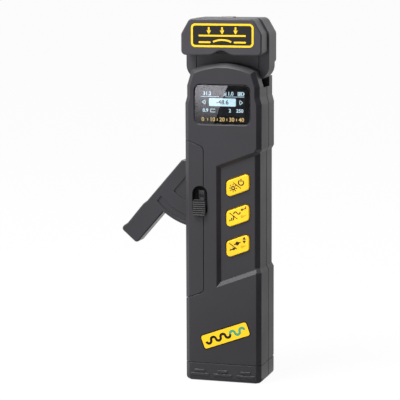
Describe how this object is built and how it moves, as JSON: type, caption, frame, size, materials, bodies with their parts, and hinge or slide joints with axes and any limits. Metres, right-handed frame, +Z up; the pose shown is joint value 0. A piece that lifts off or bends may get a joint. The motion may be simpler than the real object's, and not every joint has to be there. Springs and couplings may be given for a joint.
{
  "type": "optical fiber identifier",
  "caption": "Hand-held optical fiber identifier: a side lever drops a clamp head over a slot, with a display, slanted buttons, a lever lock and a pull-off bottom cap.",
  "frame": {"origin": "middle of the base, on the surface the identifier stands on", "axes": "+X to the right of the front face, +Y to the back, +Z up to the head"},
  "size_m": [0.0854, 0.032, 0.2011],
  "materials": {
    "case": "fine-grained matte black",
    "lever": "fine-grained matte black",
    "head": "fine-grained matte black",
    "button": "satin yellow",
    "window": "smoked gloss",
    "display": "dark display panel",
    "lens": "smoked and frosted",
    "anvil": "black",
    "pad": "matte",
    "steel": "ground",
    "brass": "turned",
    "board": "green laminate",
    "switch": "black",
    "cell": "wrapped cell"
  },
  "bodies": {
    "case": {"front_shell": "case", "rear_shell": "case", "lever_guard": "case", "case_screws": "steel", "port_plate": "case", "fault_light_port": "steel", "meter_port": "steel", "charge_socket": "steel", "battery_cell": "cell", "display_window": "window", "display_module": "display", "main_board": "board", "power_switch": "switch", "reference_switch": "switch", "set_switch": "switch", "anvil": "anvil", "detector_left": "steel", "detector_right": "steel", "slide_guide": "anvil", "guide_post_left": "steel", "guide_post_right": "steel", "return_spring": "steel", "pivot_pin": "steel"},
    "head": {"head_cap": "head", "head_carriage": "head", "press_block": "pad", "head_screws": "steel", "led_lens": "lens", "led_lamp": "switch", "drawbar": "steel", "drawbar_pin": "steel"},
    "lever": {"lever": "lever", "crank_pin": "steel"},
    "lock": {"lock_slider": "lever", "lock_hook": "steel"},
    "power_key": {"power_button": "button"},
    "reference_key": {"reference_button": "button"},
    "set_key": {"set_button": "button"},
    "cap": {"bottom_cap": "case"}
  },
  "joints": [
    {"name": "lever_hinge", "type": "hinge", "parent": "case", "child": "lever", "pos_m": [-0.0133, 0, 0.12185], "axis": [0, -1, 0], "range_deg": [0, 41], "stiffness_Nm_per_rad": 0.25, "springref_deg": -22.92},
    {"name": "head_slide", "type": "slide", "parent": "case", "child": "head", "axis": [0, 0, -1], "range_m": [0, 0.00323], "deforming": ["return_spring"]},
    {"name": "lock_slide", "type": "slide", "parent": "case", "child": "lock", "axis": [0, 0, 1], "range_m": [0, 0.0068]},
    {"name": "power_press", "type": "slide", "parent": "case", "child": "power_key", "axis": [0, 1, 0], "range_m": [0, 0.0005], "stiffness_N_per_m": 1500, "springref_m": -0.0003},
    {"name": "reference_press", "type": "slide", "parent": "case", "child": "reference_key", "axis": [0, 1, 0], "range_m": [0, 0.0005], "stiffness_N_per_m": 1500, "springref_m": -0.0003},
    {"name": "set_press", "type": "slide", "parent": "case", "child": "set_key", "axis": [0, 1, 0], "range_m": [0, 0.0005], "stiffness_N_per_m": 1500, "springref_m": -0.0003},
    {"name": "cap_slide", "type": "slide", "parent": "case", "child": "cap", "axis": [0, 0, -1], "range_m": [0, 0.012]}
  ],
  "couplings": [
    {"joint": "head_slide", "follows": "lever_hinge", "m_per_rad": 0.0045025}
  ]
}
